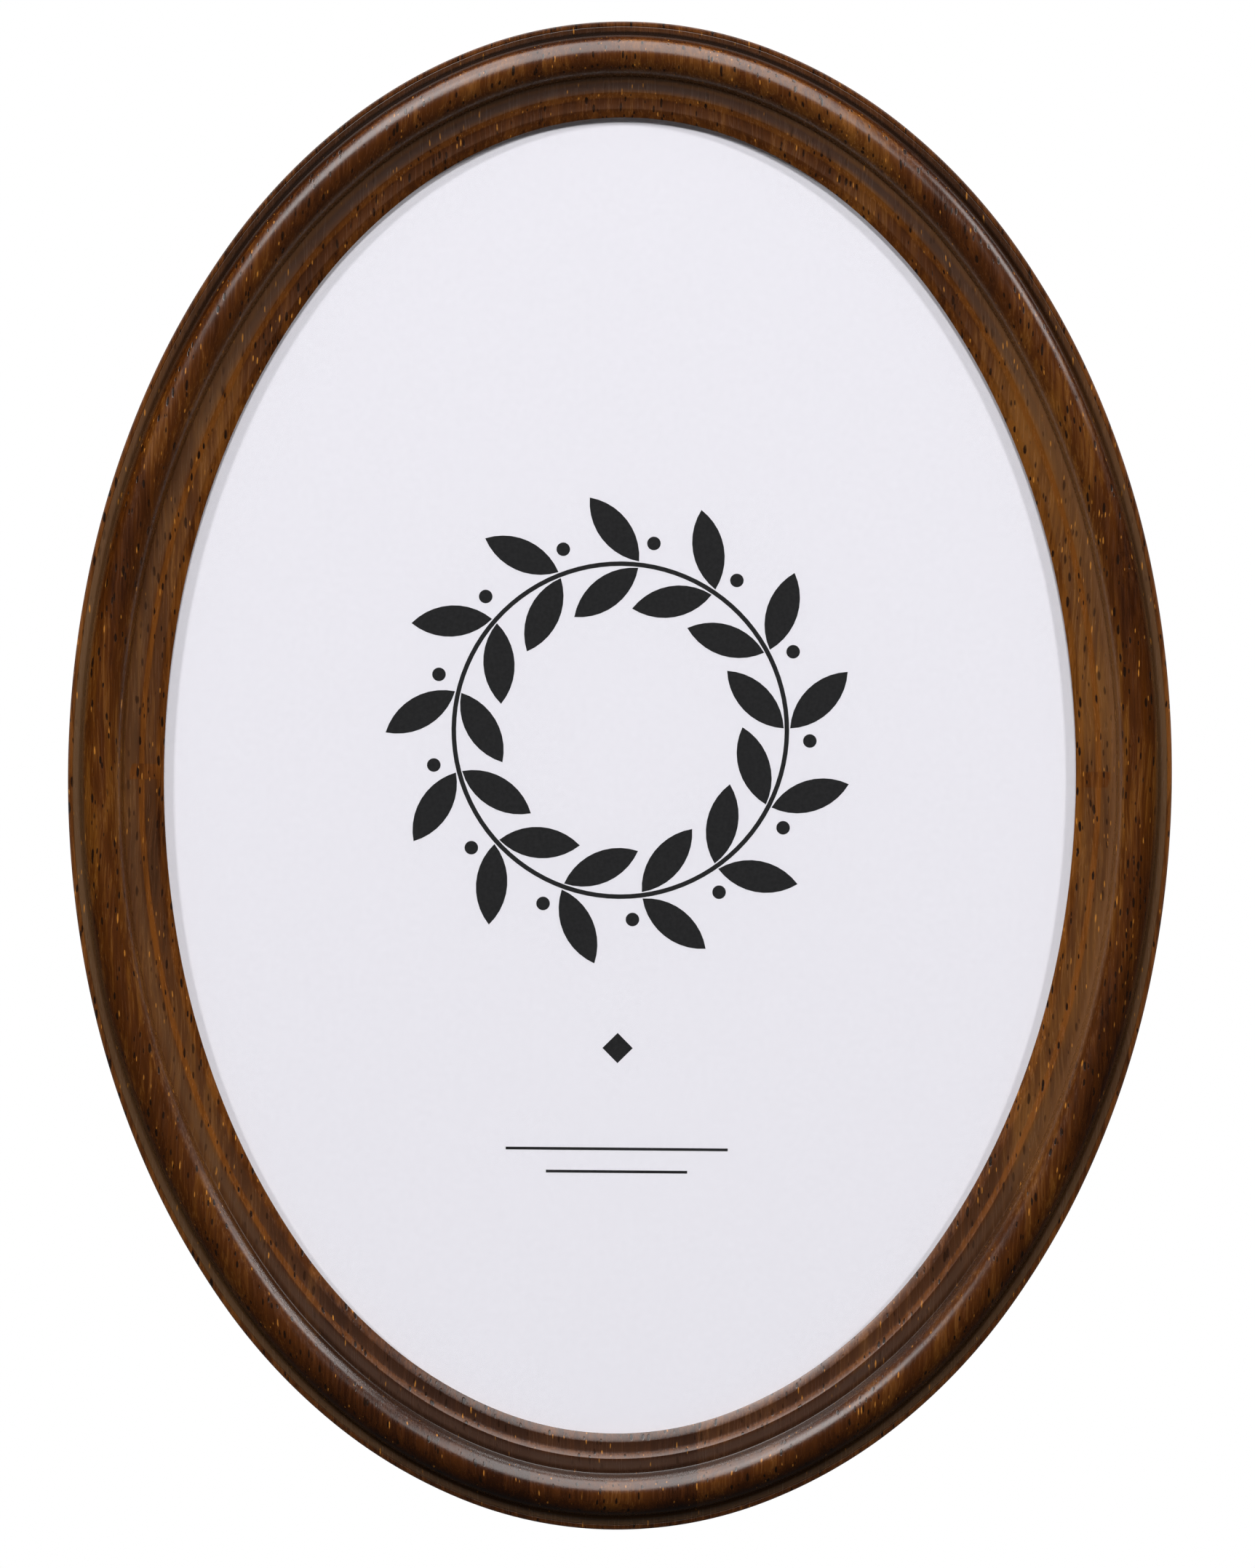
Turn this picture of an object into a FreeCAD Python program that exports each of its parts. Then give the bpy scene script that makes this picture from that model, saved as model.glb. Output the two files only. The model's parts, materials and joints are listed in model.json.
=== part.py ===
"""Oval wooden picture frame for a 20 x 28 cm picture, hung on a wall.

Millimetres. The wall is the plane Y = 0 and the front faces -Y, X runs to the right as
seen from the front, and Z is up. The origin is on the wall, behind the middle of the oval.
"""
import FreeCAD
import Part
import math
import os

V = FreeCAD.Vector

# Picture format, an ellipse, and the stack that lies in the rebate
format_width = 200.0
format_height = 280.0
glass_thickness = 2.0
air_gap = 0.1
sheet_thickness = 0.3
panel_thickness = 3.0

# Rebate and lip of the moulding
rebate_depth = 8.0
rebate_clearance = 0.4
lip_overlap = 9.8
lip_edge = 0.4
lip_face_width = 1.7
lip_face_rise = 0.55
lip_face_bow = 0.05

# Two shallow hollows with a sloping fillet between them, from the lip outward
inner_hollow_width = 2.05
inner_hollow_rise = 0.15
inner_hollow_sag = 0.05
riser_width = 1.15
riser_rise = 0.4
outer_hollow_width = 3.05
outer_hollow_rise = 0.2
outer_hollow_sag = 0.08

# Big half-round roll, then a quirk, fine beads, a scratch groove and the flat outer band with its eased edge
roll_radius = 4.15
quirk_depth = 0.5
quirk_width = 0.5
bead_count = 2
bead_width = 0.55
bead_height = 0.06
scratch_width = 0.15
scratch_depth = 0.12
band_width = 0.65
edge_chamfer = 0.25
back_chamfer = 0.5

# Upright staves that the ring is glued up from
centre_stave_width = 33.0
next_stave_width = 42.0

# Turn buttons and their screws on the back rim
button_count = 6
button_thickness = 1.0
button_head_radius = 4.0
button_tip_radius = 2.6
button_reach = 13.0
button_bend_length = 4.0
button_bend_rise = 0.8
turning_clearance = 0.08
screw_radius = 1.25
screw_depth = 8.0
screw_point = 1.6
screw_head_radius = 2.5
screw_head_height = 1.6
screw_slot_width = 0.6
screw_slot_depth = 0.8
pilot_clearance = 0.05
pilot_spare = 0.8

# Hangers: a folded strap, a wire ring in its fold and one rivet
hanger_inset = 28.0
ring_wire_radius = 0.8
ring_half_width = 6.3
ring_corner_radius = 1.5
ring_straight = 10.0
strap_thickness = 0.7
strap_width = 9.0
strap_length = 8.5
strap_corner_radius = 1.5
eye_lift = 0.3
rivet_edge = 0.5
rivet_radius = 1.4
rivet_head_radius = 2.4
rivet_head_height = 1.1
rivet_tail_radius = 2.2
rivet_tail_height = 0.8
rivet_clearance = 0.05
rivet_recess_clearance = 0.2

# Rubber wall bumpers on the lower rim
bumper_height = 4.2
bumper_radius = 3.6
bumper_face_radius = 3.1
bumper_from_middle = 36.0

# Length by which every cutting body runs past what it cuts
overrun = 2.0

# Ellipse parameters, in degrees, between which a quarter of the oval is drawn as two arcs
quarter_knots = (0.0, 32.0, 60.0, 90.0)

# Shares of a rise or radius that set the bulge of rounded shapes, and the slope of the strap's fold
screw_shoulder_share = 0.75
fold_slope = 50
slot_turn_step = 25

half_width = format_width / 2
half_height = format_height / 2
rivet_place = strap_length - rivet_head_radius - rivet_edge
back_y = -bumper_height
filler_thickness = rebate_depth - glass_thickness - air_gap - sheet_thickness - panel_thickness


def ellipse_point(t):
    """Point of the format ellipse, as X and Z, at parameter t in degrees."""
    return half_width * math.cos(math.radians(t)), half_height * math.sin(math.radians(t))


def ellipse_normal(t):
    """Unit outward normal of the format ellipse at parameter t in degrees."""
    x = math.cos(math.radians(t)) / half_width
    z = math.sin(math.radians(t)) / half_height
    size = math.hypot(x, z)
    return x / size, z / size


def arc_through(point, normal, other):
    """Circle through two points that has the given outward normal at the first, as centre and radius."""
    dx = other[0] - point[0]
    dz = other[1] - point[1]
    radius = -(dx * dx + dz * dz) / (2 * (dx * normal[0] + dz * normal[1]))
    return (point[0] - radius * normal[0], point[1] - radius * normal[1]), radius


def two_arcs(t0, t1):
    """Two tangent arcs that follow the ellipse from t0 to t1: centre, radius, first and last angle."""
    p0, p1 = ellipse_point(t0), ellipse_point(t1)
    n0, n1 = ellipse_normal(t0), ellipse_normal(t1)
    d0, d1 = (-n0[1], n0[0]), (-n1[1], n1[0])
    vx, vz = p1[0] - p0[0], p1[1] - p0[1]
    along = vx * (d0[0] + d1[0]) + vz * (d0[1] + d1[1])
    bend = 2 * (1 - d0[0] * d1[0] - d0[1] * d1[1])
    reach = (math.sqrt(along * along + bend * (vx * vx + vz * vz)) - along) / bend
    middle = ((p0[0] + p1[0] + reach * (d0[0] - d1[0])) / 2, (p0[1] + p1[1] + reach * (d0[1] - d1[1])) / 2)
    first, r0 = arc_through(p0, n0, middle)
    last, r1 = arc_through(p1, n1, middle)
    a0 = math.atan2(n0[1], n0[0])
    am = math.atan2(middle[1] - first[1], middle[0] - first[0])
    a1 = math.atan2(n1[1], n1[0])
    return [(first, r0, a0, am), (last, r1, am, a1)]


def oval_arcs():
    """The whole oval, counter-clockwise as seen from the front, as tangent arcs."""
    quarter = []
    for t0, t1 in zip(quarter_knots, quarter_knots[1:]):
        quarter += two_arcs(t0, t1)
    mirrored = [((-c[0], c[1]), r, math.pi - a1, math.pi - a0) for c, r, a0, a1 in reversed(quarter)]
    upper = quarter + mirrored
    lower = [((-c[0], -c[1]), r, a0 + math.pi, a1 + math.pi) for c, r, a0, a1 in upper]
    return upper + lower


def on_arc(arc, angle, offset, height):
    """Point at an angle of an arc, offset outward from the format and height in front of the back plane."""
    centre, radius = arc[0], arc[1]
    x = centre[0] + (radius + offset) * math.cos(angle)
    z = centre[1] + (radius + offset) * math.sin(angle)
    return V(x, back_y - height, z)


def oval_plate(offset, low, high):
    """Flat oval plate between two heights above the back plane."""
    edges = []
    for arc in oval_arcs():
        a0, a1 = arc[2], arc[3]
        points = [on_arc(arc, a, offset, low) for a in (a0, (a0 + a1) / 2, a1)]
        edges.append(Part.Arc(*points).toShape())
    face = Part.Face(Part.Wire(edges))
    return face.extrude(V(0, low - high, 0))


def moulding_outline():
    """Moulding section as (kind, points) steps; each point is offset outward and height in front of the back."""
    u, h = -lip_overlap, rebate_depth
    steps = [("line", (rebate_clearance, 0), (rebate_clearance, h)), ("line", (rebate_clearance, h), (u, h))]

    def straight(du, dh):
        nonlocal u, h
        steps.append(("line", (u, h), (u + du, h + dh)))
        u, h = u + du, h + dh

    def bowed(du, dh, bow):
        nonlocal u, h
        size = math.hypot(du, dh)
        middle = (u + du / 2 - bow * dh / size, h + dh / 2 + bow * du / size)
        steps.append(("arc", (u, h), middle, (u + du, h + dh)))
        u, h = u + du, h + dh

    straight(0, lip_edge)
    bowed(lip_face_width, lip_face_rise, lip_face_bow)
    bowed(inner_hollow_width, inner_hollow_rise, -inner_hollow_sag)
    straight(riser_width, riser_rise)
    bowed(outer_hollow_width, outer_hollow_rise, -outer_hollow_sag)
    bowed(2 * roll_radius, 0, roll_radius)
    straight(0, -quirk_depth)
    straight(quirk_width, quirk_depth)
    for _ in range(bead_count):
        bowed(bead_width, 0, bead_height)
    straight(scratch_width / 2, -scratch_depth)
    straight(scratch_width / 2, scratch_depth)
    straight(band_width, 0)
    straight(edge_chamfer, -edge_chamfer)
    straight(0, back_chamfer - h)
    straight(-back_chamfer, -back_chamfer)
    steps.append(("line", (u, h), (rebate_clearance, 0)))
    return steps


def outer_offset():
    """Offset of the moulding's outer side from the format."""
    inner = lip_face_width + inner_hollow_width + riser_width + outer_hollow_width
    outer = quirk_width + bead_count * bead_width + scratch_width + band_width + edge_chamfer
    return -lip_overlap + inner + 2 * roll_radius + outer


def section_face(arc):
    """The moulding section, standing at the start of an arc of the oval."""
    edges = []
    for step in moulding_outline():
        points = [on_arc(arc, arc[2], u, h) for u, h in step[1:]]
        edges.append(Part.LineSegment(*points).toShape() if step[0] == "line" else Part.Arc(*points).toShape())
    return Part.Face(Part.Wire(edges))


def moulding_ring():
    """The whole moulding: its section turned about the centre of each arc of the oval."""
    parts = []
    for arc in oval_arcs():
        centre = V(arc[0][0], 0, arc[0][1])
        parts.append(section_face(arc).revolve(centre, V(0, -1, 0), math.degrees(arc[3] - arc[2])))
    return parts[0].multiFuse(parts[1:])


def rod(start, direction, radius, length):
    """Cylinder from a point along a direction."""
    return Part.makeCylinder(radius, length, start, direction)


def rim_offset():
    """Offset of the middle of the back rim from the format."""
    return (rebate_clearance + outer_offset()) / 2


def rim_place(t):
    """Point on the middle of the back rim at ellipse parameter t, and the outward direction there."""
    x, z = ellipse_point(t)
    nx, nz = ellipse_normal(t)
    return V(x + rim_offset() * nx, back_y, z + rim_offset() * nz), V(nx, 0, nz)


def button_places():
    """Ellipse parameters of the turn buttons, the first one at the top."""
    return [90 + 360 * i / button_count for i in range(button_count)]


def put(shape, place, outward, extra_turn=0):
    """Moves a shape drawn at the origin, with its tail along -Z, to a place whose tail points inward."""
    angle = math.degrees(math.atan2(outward.x, outward.z)) + extra_turn
    turn = FreeCAD.Rotation(V(0, 1, 0), angle)
    moved = shape.copy()
    moved.Placement = FreeCAD.Placement(place, turn)
    return moved


def turn_button():
    """Pressed steel teardrop round the screw, tail down, with its tip bent off the back panel."""
    tip_z = button_tip_radius - button_reach
    span = -tip_z
    lean = math.asin((button_head_radius - button_tip_radius) / span)
    corners = []
    for side in (1, -1):
        nx, nz = side * math.cos(lean), -math.sin(lean)
        corners.append((V(nx * button_head_radius, 0, nz * button_head_radius),
                        V(nx * button_tip_radius, 0, tip_z + nz * button_tip_radius)))
    top = V(0, 0, button_head_radius)
    bottom = V(0, 0, -button_reach)
    edges = [
        Part.Arc(corners[1][0], top, corners[0][0]).toShape(),
        Part.LineSegment(corners[0][0], corners[0][1]).toShape(),
        Part.Arc(corners[0][1], bottom, corners[1][1]).toShape(),
        Part.LineSegment(corners[1][1], corners[1][0]).toShape(),
    ]
    full_height = button_thickness + button_bend_rise + overrun
    outline = Part.Face(Part.Wire(edges)).extrude(V(0, full_height, 0))
    bend_z = button_bend_length - button_reach
    end_z = -button_reach
    side = [
        (0, button_head_radius), (0, bend_z), (button_bend_rise, end_z),
        (button_bend_rise + button_thickness, end_z), (button_thickness, bend_z), (button_thickness, button_head_radius),
    ]
    points = [V(-button_head_radius, y, z) for y, z in side]
    strip = Part.Face(Part.makePolygon(points + points[:1])).extrude(V(2 * button_head_radius, 0, 0))
    plate = outline.common(strip)
    hole = rod(V(0, -overrun, 0), V(0, 1, 0), screw_radius + turning_clearance, full_height + overrun)
    return plate.cut(hole)


def turned(points, start, direction):
    """Body turned about the line through start, from (radius, distance along direction) steps, lines or arcs."""
    side = V(1, 0, 0)
    edges = []
    for step in points:
        ends = [start + side * r + direction * d for r, d in step]
        edges.append(Part.LineSegment(*ends).toShape() if len(ends) == 2 else Part.Arc(*ends).toShape())
    return Part.Face(Part.Wire(edges)).revolve(start, direction, 360)


def turn_screw():
    """Pan-head wood screw with a cross slot; its head sits on the turn button and its shank goes to -Y."""
    head_y = button_thickness
    top = head_y + screw_head_height
    point_y = -screw_depth - screw_point
    shoulder = screw_shoulder_share
    steps = [
        [(0, point_y), (screw_radius, -screw_depth)],
        [(screw_radius, -screw_depth), (screw_radius, head_y)],
        [(screw_radius, head_y), (screw_head_radius, head_y)],
        [(screw_head_radius, head_y),
         (shoulder * screw_head_radius, head_y + shoulder * screw_head_height), (0, top)],
        [(0, top), (0, point_y)],
    ]
    screw = turned(steps, V(0, 0, 0), V(0, 1, 0))
    for turn in (0, 90):
        slot = Part.makeBox(screw_slot_width, screw_slot_depth + overrun, screw_head_radius,
                            V(-screw_slot_width / 2, top - screw_slot_depth, -screw_head_radius / 2))
        slot.rotate(V(0, 0, 0), V(0, 1, 0), turn)
        screw = screw.cut(slot)
    return screw


def ring_height():
    """Distance of the ring's hinge line from the back plane."""
    return eye_lift + eye_radius()


def eye_radius():
    """Outer radius of the strap's fold round the ring."""
    return ring_wire_radius + turning_clearance + strap_thickness


def hanger_ring():
    """Wire D ring hanging from its straight bar, which lies along X on the hinge line."""
    y = ring_height()
    r, w, c = ring_wire_radius, ring_half_width, ring_corner_radius
    parts = [rod(V(c - w, y, 0), V(1, 0, 0), r, 2 * (w - c))]
    for side in (1, -1):
        wire = Part.Face(Part.Wire(Part.makeCircle(r, V(side * (w - c), y, 0), V(1, 0, 0))))
        parts.append(wire.revolve(V(side * (w - c), y, -c), V(0, side, 0), 90))
        parts.append(rod(V(side * w, y, -c), V(0, 0, -1), r, ring_straight - c))
    wire = Part.Face(Part.Wire(Part.makeCircle(r, V(w, y, -ring_straight), V(0, 0, 1))))
    parts.append(wire.revolve(V(0, y, -ring_straight), V(0, 1, 0), 180))
    return parts[0].multiFuse(parts[1:])


def hanger_strap():
    """Steel strip folded round the ring's bar and back onto itself, with one rivet hole."""
    y = ring_height()
    half = strap_width / 2
    double = 2 * strap_thickness
    leaf = Part.makeBox(strap_width, double, strap_length, V(-half, 0, -strap_length))
    corners = [e for e in leaf.Edges if e.CenterOfMass.z < -strap_length / 2 and e.BoundBox.ZLength < e.BoundBox.YLength]
    leaf = leaf.makeFillet(strap_corner_radius, corners)
    eye = rod(V(-half, y, 0), V(1, 0, 0), eye_radius(), strap_width)
    lean = math.radians(fold_slope)
    touch = V(-half, y + eye_radius() * math.sin(lean), -eye_radius() * math.cos(lean))
    foot_z = touch.z - (touch.y - double) * math.tan(lean)
    wedge = [V(-half, 0, 0), V(-half, y, 0), touch, V(-half, double, foot_z), V(-half, 0, foot_z)]
    gusset = Part.Face(Part.makePolygon(wedge + wedge[:1])).extrude(V(strap_width, 0, 0))
    strap = leaf.fuse([eye, gusset])
    bore = rod(V(-half - overrun, y, 0), V(1, 0, 0), ring_wire_radius + turning_clearance, strap_width + 2 * overrun)
    hole = rod(V(0, -overrun, -rivet_place), V(0, 1, 0), rivet_radius + rivet_clearance, double + 2 * overrun)
    return strap.cut([bore, hole]).removeSplitter()


def hanger_rivet():
    """Round-head rivet through strap and panel, its tail spread in a recess on the panel's inner side."""
    seat = 2 * strap_thickness
    tail = rivet_recess_depth() - panel_thickness
    middle = V(0, 0, -rivet_place)
    dome_radius = (rivet_head_radius ** 2 + rivet_head_height ** 2) / (2 * rivet_head_height)
    drop = dome_radius - rivet_head_height
    latitude = math.degrees(math.asin(drop / dome_radius))
    head = Part.makeSphere(dome_radius, middle + V(0, seat - drop, 0), V(0, 1, 0), latitude, 90, 360)
    shank = rod(middle + V(0, tail, 0), V(0, 1, 0), rivet_radius, seat - tail)
    spread = rod(middle + V(0, tail, 0), V(0, -1, 0), rivet_tail_radius, rivet_tail_height)
    return head.fuse([shank, spread])


def rivet_recess_depth():
    """Depth of the recess for a rivet's tail, which stays just below the panel's inner face."""
    return rivet_tail_height + rivet_clearance


def hanger_places():
    """Name, hinge point and outward direction of the upright and the lying hanger."""
    up = half_height - hanger_inset
    across = half_width - hanger_inset
    return [("portrait_hanger", V(0, back_y, up), V(0, 0, 1)), ("landscape_hanger", V(-across, back_y, 0), V(-1, 0, 0))]


def back_panel():
    """Back panel with rivet holes, each with a recess on the inner side."""
    panel = oval_plate(0, 0, panel_thickness)
    for _, place, outward in hanger_places():
        spot = V(0, -panel_thickness - overrun, -rivet_place)
        hole = rod(spot, V(0, 1, 0), rivet_radius + rivet_clearance, panel_thickness + 2 * overrun)
        recess = rod(spot, V(0, 1, 0), rivet_tail_radius + rivet_recess_clearance, rivet_recess_depth() + overrun)
        panel = panel.cut([put(hole, place, outward), put(recess, place, outward)])
    return panel


def moulding_pieces():
    """The ring cut into its glued staves: one at each side, three at the top and three at the bottom."""
    ring = moulding_ring()
    for t in button_places():
        place, _ = rim_place(t)
        start = place + V(0, overrun, 0)
        depth = overrun + screw_depth + screw_point + pilot_spare
        ring = ring.cut(rod(start, V(0, -1, 0), screw_radius + pilot_clearance, depth))
    near = centre_stave_width / 2
    far = near + next_stave_width
    end = half_width + outer_offset() + overrun
    tall = half_height + outer_offset() + overrun
    spans = {"left": (-end, -far), "right": (far, end)}
    pieces = {}
    front_y = back_y - crest_height() - overrun
    for name, (x0, x1) in spans.items():
        block = Part.makeBox(x1 - x0, back_y - front_y + overrun, 2 * tall, V(x0, front_y, -tall))
        pieces["moulding_" + name] = ring.common(block)
    middle_spans = {"left": (-far, -near), "centre": (-near, near), "right": (near, far)}
    for row, z0 in (("top", 0), ("bottom", -tall)):
        for name, (x0, x1) in middle_spans.items():
            block = Part.makeBox(x1 - x0, back_y - front_y + overrun, tall, V(x0, front_y, z0))
            pieces["moulding_" + row + "_" + name] = ring.common(block)
    return pieces


def crest_height():
    """Height of the roll's crest in front of the back plane."""
    rises = lip_edge + lip_face_rise + inner_hollow_rise + riser_rise + outer_hollow_rise
    return rebate_depth + rises + roll_radius


def wall_bumper(side):
    """Rubber bumper stuck to the lower back rim, its face on the wall."""
    t = -math.degrees(math.acos(side * bumper_from_middle / half_width))
    place, _ = rim_place(t)
    return Part.makeCone(bumper_radius, bumper_face_radius, bumper_height, place, V(0, 1, 0))


def build():
    """All pieces by node name."""
    nodes = moulding_pieces()
    glass_low = rebate_depth - glass_thickness
    sheet_high = glass_low - air_gap
    sheet_low = sheet_high - sheet_thickness
    nodes["glass_pane"] = oval_plate(0, glass_low, rebate_depth)
    nodes["picture_sheet"] = oval_plate(0, sheet_low, sheet_high)
    nodes["filler_card"] = oval_plate(0, sheet_low - filler_thickness, sheet_low)
    nodes["back_panel"] = back_panel()
    for i, t in enumerate(button_places(), start=1):
        place, outward = rim_place(t)
        nodes["turn_button_" + str(i)] = put(turn_button(), place, outward)
        nodes["turn_screw_" + str(i)] = put(turn_screw(), place, outward, i * slot_turn_step)
    for name, place, outward in hanger_places():
        nodes[name + "_strap"] = put(hanger_strap(), place, outward)
        nodes[name + "_ring"] = put(hanger_ring(), place, outward)
        nodes[name + "_rivet"] = put(hanger_rivet(), place, outward)
    nodes["wall_bumper_left"] = wall_bumper(-1)
    nodes["wall_bumper_right"] = wall_bumper(1)
    return nodes


os.makedirs("parts", exist_ok=True)
for node, shape in build().items():
    solids = shape.Solids
    if len(solids) == 1:
        shape = solids[0]
    shape.exportStep("parts/" + node + ".step")
    print(node, len(solids), "solids", round(shape.Volume, 1), "mm3", "valid" if shape.isValid() else "INVALID")
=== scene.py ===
# Oval wooden picture frame, hung on a wall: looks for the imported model.
# Metres. The front faces -Y, Z is up, and the wall is the plane Y = 0.
import json
import math

import bmesh
import bpy
from mathutils import Matrix, Vector

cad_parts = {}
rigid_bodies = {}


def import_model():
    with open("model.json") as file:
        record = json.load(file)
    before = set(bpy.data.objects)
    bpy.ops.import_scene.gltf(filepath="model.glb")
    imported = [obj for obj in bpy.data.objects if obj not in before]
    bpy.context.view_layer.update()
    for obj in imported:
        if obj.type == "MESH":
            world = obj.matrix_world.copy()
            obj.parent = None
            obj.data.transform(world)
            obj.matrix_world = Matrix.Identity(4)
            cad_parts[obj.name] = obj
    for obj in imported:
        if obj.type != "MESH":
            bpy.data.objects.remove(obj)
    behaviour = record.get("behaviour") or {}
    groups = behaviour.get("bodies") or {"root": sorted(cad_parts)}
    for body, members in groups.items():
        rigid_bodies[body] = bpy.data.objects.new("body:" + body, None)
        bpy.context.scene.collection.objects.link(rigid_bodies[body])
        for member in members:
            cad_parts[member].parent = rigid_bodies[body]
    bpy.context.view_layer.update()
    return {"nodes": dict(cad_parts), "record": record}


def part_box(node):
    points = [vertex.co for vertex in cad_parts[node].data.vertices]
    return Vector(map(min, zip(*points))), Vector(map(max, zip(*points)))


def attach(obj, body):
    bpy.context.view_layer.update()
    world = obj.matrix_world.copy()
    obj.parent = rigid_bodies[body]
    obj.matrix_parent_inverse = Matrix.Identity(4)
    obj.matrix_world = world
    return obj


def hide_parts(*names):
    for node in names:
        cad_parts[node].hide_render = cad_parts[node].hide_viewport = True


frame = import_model()
mm = 0.001
weld = 0.001 * mm  # points nearer than this are one

# Places that the model gives
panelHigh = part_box("back_panel")[1]
halfWidth, halfHeight = panelHigh.x, panelHigh.z
backY = panelHigh.y
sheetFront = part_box("picture_sheet")[0].y
staveEdges = {"near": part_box("moulding_top_centre")[1].x, "far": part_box("moulding_top_right")[1].x}


# Node trees
def addNode(tree, kind, inputs=None, **settings):
    node = tree.nodes.new(kind)
    for name, value in settings.items():
        setattr(node, name, value)
    for name, value in (inputs or {}).items():
        socket = node.inputs[name]
        if isinstance(value, bpy.types.NodeSocket):
            tree.links.new(value, socket)
        else:
            socket.default_value = value
    return node


def calc(tree, operation, a, b=0.0, c=0.0, clamp=False):
    node = addNode(tree, "ShaderNodeMath", {0: a, 1: b, 2: c}, operation=operation, use_clamp=clamp)
    return node.outputs[0]


def mixColor(tree, factor, a, b):
    return addNode(tree, "ShaderNodeMix", {0: factor, 6: a, 7: b}, data_type="RGBA").outputs[2]


def bandsOf(tree, value, stops):  # a ramp through stops of a place and four amounts
    node = addNode(tree, "ShaderNodeValToRGB", {"Fac": value})
    points = node.color_ramp.elements
    while len(points) < len(stops):
        points.new(0.5)
    for point, (place, *amounts) in zip(points, stops):
        point.position = place
        point.color = amounts
    return node.outputs


def ramp(tree, value, stops):
    return bandsOf(tree, value, [(place, *color, 1) for place, color in stops])["Color"]


def stretched(tree, scale=(1, 1, 1)):
    coords = addNode(tree, "ShaderNodeTexCoord")
    return addNode(tree, "ShaderNodeMapping", {"Vector": coords.outputs["Object"], "Scale": scale}).outputs[0]


def noise(tree, vector, scale, detail, roughness=0.5):
    inputs = {"Vector": vector, "Scale": scale, "Detail": detail, "Roughness": roughness}
    return addNode(tree, "ShaderNodeTexNoise", inputs).outputs["Fac"]


def addRelief(tree, shader, height, distance, strength):
    bump = addNode(tree, "ShaderNodeBump", {"Height": height, "Distance": distance, "Strength": strength})
    tree.links.new(bump.outputs[0], shader.inputs["Normal"])


def newMaterial(name):
    material = bpy.data.materials.new(name)
    material.use_nodes = True
    tree = material.node_tree
    return material, tree, tree.nodes["Principled BSDF"]


def attribute(tree, name):
    return addNode(tree, "ShaderNodeAttribute", attribute_name=name).outputs["Fac"]


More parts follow.
